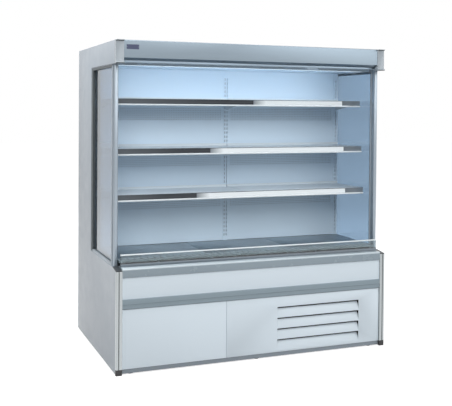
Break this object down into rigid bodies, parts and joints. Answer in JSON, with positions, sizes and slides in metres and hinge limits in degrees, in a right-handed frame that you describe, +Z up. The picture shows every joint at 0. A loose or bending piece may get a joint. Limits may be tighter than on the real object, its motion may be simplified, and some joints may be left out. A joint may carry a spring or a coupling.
{
  "type": "open multideck display fridge",
  "caption": "Free-standing open-front chilled display cabinet with glazed ends, lit shelves over a deck, a night blind in the header and a condensing unit behind a louvred base panel.",
  "frame": {"origin": "on the floor under the middle of the body", "axes": "+Z up, +X to the right seen from the customer's side, +Y to the back; the open front faces -Y"},
  "size_m": [1.83, 1.05, 1.96],
  "materials": {
    "body_paint": "satin light grey coil-coated sheet",
    "white_paint": "satin white powder coat",
    "interior_paint": "satin pale blue-white powder coat",
    "liner": "moulded liner over foam",
    "steel_frame": "dark grey structure paint",
    "galvanised": "galvanised sheet",
    "stainless": "brushed along its length",
    "bright_aluminium": "polished anodised extrusion",
    "satin_aluminium": "satin anodised extrusion",
    "bumper_grey": "grey bumper plastic",
    "nosing_grey": "grey-blue profile",
    "cap_grey": "moulded grey plastic",
    "black_plastic": "black moulding",
    "clear_glass": "clear toughened glass",
    "price_rail": "clear-fronted white extrusion",
    "lamp_diffuser": "opal diffuser",
    "blind_fabric": "coated blind fabric",
    "fan_grey": "moulded fan",
    "motor_black": "black motor housing",
    "fins": "finned coil",
    "copper_pipe": "copper tube",
    "compressor_black": "gloss black",
    "rubber_foot": "rubber and zinc stud"
  },
  "bodies": {
    "cabinet": {"base_frame": "steel_frame", "levelling_feet": "rubber_foot", "kick_rail": "body_paint", "insulated_tub": "liner", "rear_panel": "body_paint", "rear_grille": "galvanised", "roof_panel": "body_paint", "side_panel_left": "body_paint", "side_panel_right": "body_paint", "window_frame_left": "body_paint", "window_frame_right": "body_paint", "side_glass_left": "clear_glass", "side_glass_right": "clear_glass", "post_left": "satin_aluminium", "post_right": "satin_aluminium", "nosing": "nosing_grey", "riser_channel": "satin_aluminium", "riser_glass": "clear_glass", "front_strip": "white_paint", "bumper_rail": "bumper_grey", "corner_trims": "bright_aluminium", "corner_foot_caps": "black_plastic", "header_cap_left": "cap_grey", "header_cap_right": "cap_grey", "fascia": "stainless", "ceiling_panel": "interior_paint", "air_comb": "interior_paint", "header_lamp": "lamp_diffuser", "blind_brackets": "galvanised", "uprights": "interior_paint", "duct_panels": "interior_paint", "shelf_upper": "white_paint", "shelf_middle": "white_paint", "shelf_lower": "white_paint", "shelf_brackets": "white_paint", "price_rails": "price_rail", "shelf_lamps": "lamp_diffuser", "deck_pans": "white_paint", "deck_bearers": "galvanised", "return_grille": "white_paint", "fan_plate": "galvanised", "fan_motors": "motor_black", "evaporator": "fins", "unit_tray": "galvanised", "compressor": "compressor_black", "condenser": "fins", "fan_shroud": "galvanised", "refrigerant_pipes": "copper_pipe", "control_box": "galvanised"},
    "blind_bar": {"blind_bar": "satin_aluminium", "blind_cloth": "blind_fabric"},
    "blind_roller": {"blind_roller": "blind_fabric"},
    "evaporator_fan_left": {"evaporator_fan_left": "fan_grey"},
    "evaporator_fan_centre": {"evaporator_fan_centre": "fan_grey"},
    "evaporator_fan_right": {"evaporator_fan_right": "fan_grey"},
    "condenser_fan": {"condenser_fan": "fan_grey"},
    "power_switch": {"power_switch": "black_plastic"},
    "thermostat_knob": {"thermostat_knob": "black_plastic"},
    "plain_panel": {"plain_panel": "white_paint"},
    "louvre_panel": {"louvre_panel": "white_paint"}
  },
  "joints": [
    {"name": "blind_pull", "type": "slide", "parent": "cabinet", "child": "blind_bar", "axis": [0, 0, -1], "range_m": [0, 1.1], "stiffness_N_per_m": 12, "springref_m": -1.5, "deforming": ["blind_cloth"]},
    {"name": "blind_roller_turn", "type": "hinge", "parent": "cabinet", "child": "blind_roller", "pos_m": [0, -0.417, 1.882], "axis": [1, 0, 0], "range_deg": [0, 2340]},
    {"name": "evaporator_fan_left_spin", "type": "hinge", "parent": "cabinet", "child": "evaporator_fan_left", "pos_m": [-0.56, -0.225, 0.535], "axis": [0, 1, 0], "continuous": true},
    {"name": "evaporator_fan_centre_spin", "type": "hinge", "parent": "cabinet", "child": "evaporator_fan_centre", "pos_m": [0, -0.225, 0.535], "axis": [0, 1, 0], "continuous": true},
    {"name": "evaporator_fan_right_spin", "type": "hinge", "parent": "cabinet", "child": "evaporator_fan_right", "pos_m": [0.56, -0.225, 0.535], "axis": [0, 1, 0], "continuous": true},
    {"name": "condenser_fan_spin", "type": "hinge", "parent": "cabinet", "child": "condenser_fan", "pos_m": [0.39, -0.327, 0.2065], "axis": [0, 1, 0], "continuous": true},
    {"name": "power_switch_rock", "type": "hinge", "parent": "cabinet", "child": "power_switch", "pos_m": [-0.72, -0.475, 0.2], "axis": [-1, 0, 0], "range_deg": [0, 14]},
    {"name": "thermostat_turn", "type": "hinge", "parent": "cabinet", "child": "thermostat_knob", "pos_m": [-0.63, -0.475, 0.2], "axis": [0, 1, 0], "range_deg": [0, 270]},
    {"name": "plain_panel_lift_off", "type": "slide", "parent": "cabinet", "child": "plain_panel", "axis": [0, -1, 0], "range_m": [0, 0.3]},
    {"name": "louvre_panel_lift_off", "type": "slide", "parent": "cabinet", "child": "louvre_panel", "axis": [0, -1, 0], "range_m": [0, 0.3]}
  ],
  "couplings": [
    {"joint": "blind_roller_turn", "follows": "blind_pull", "rad_per_m": 37.037}
  ]
}
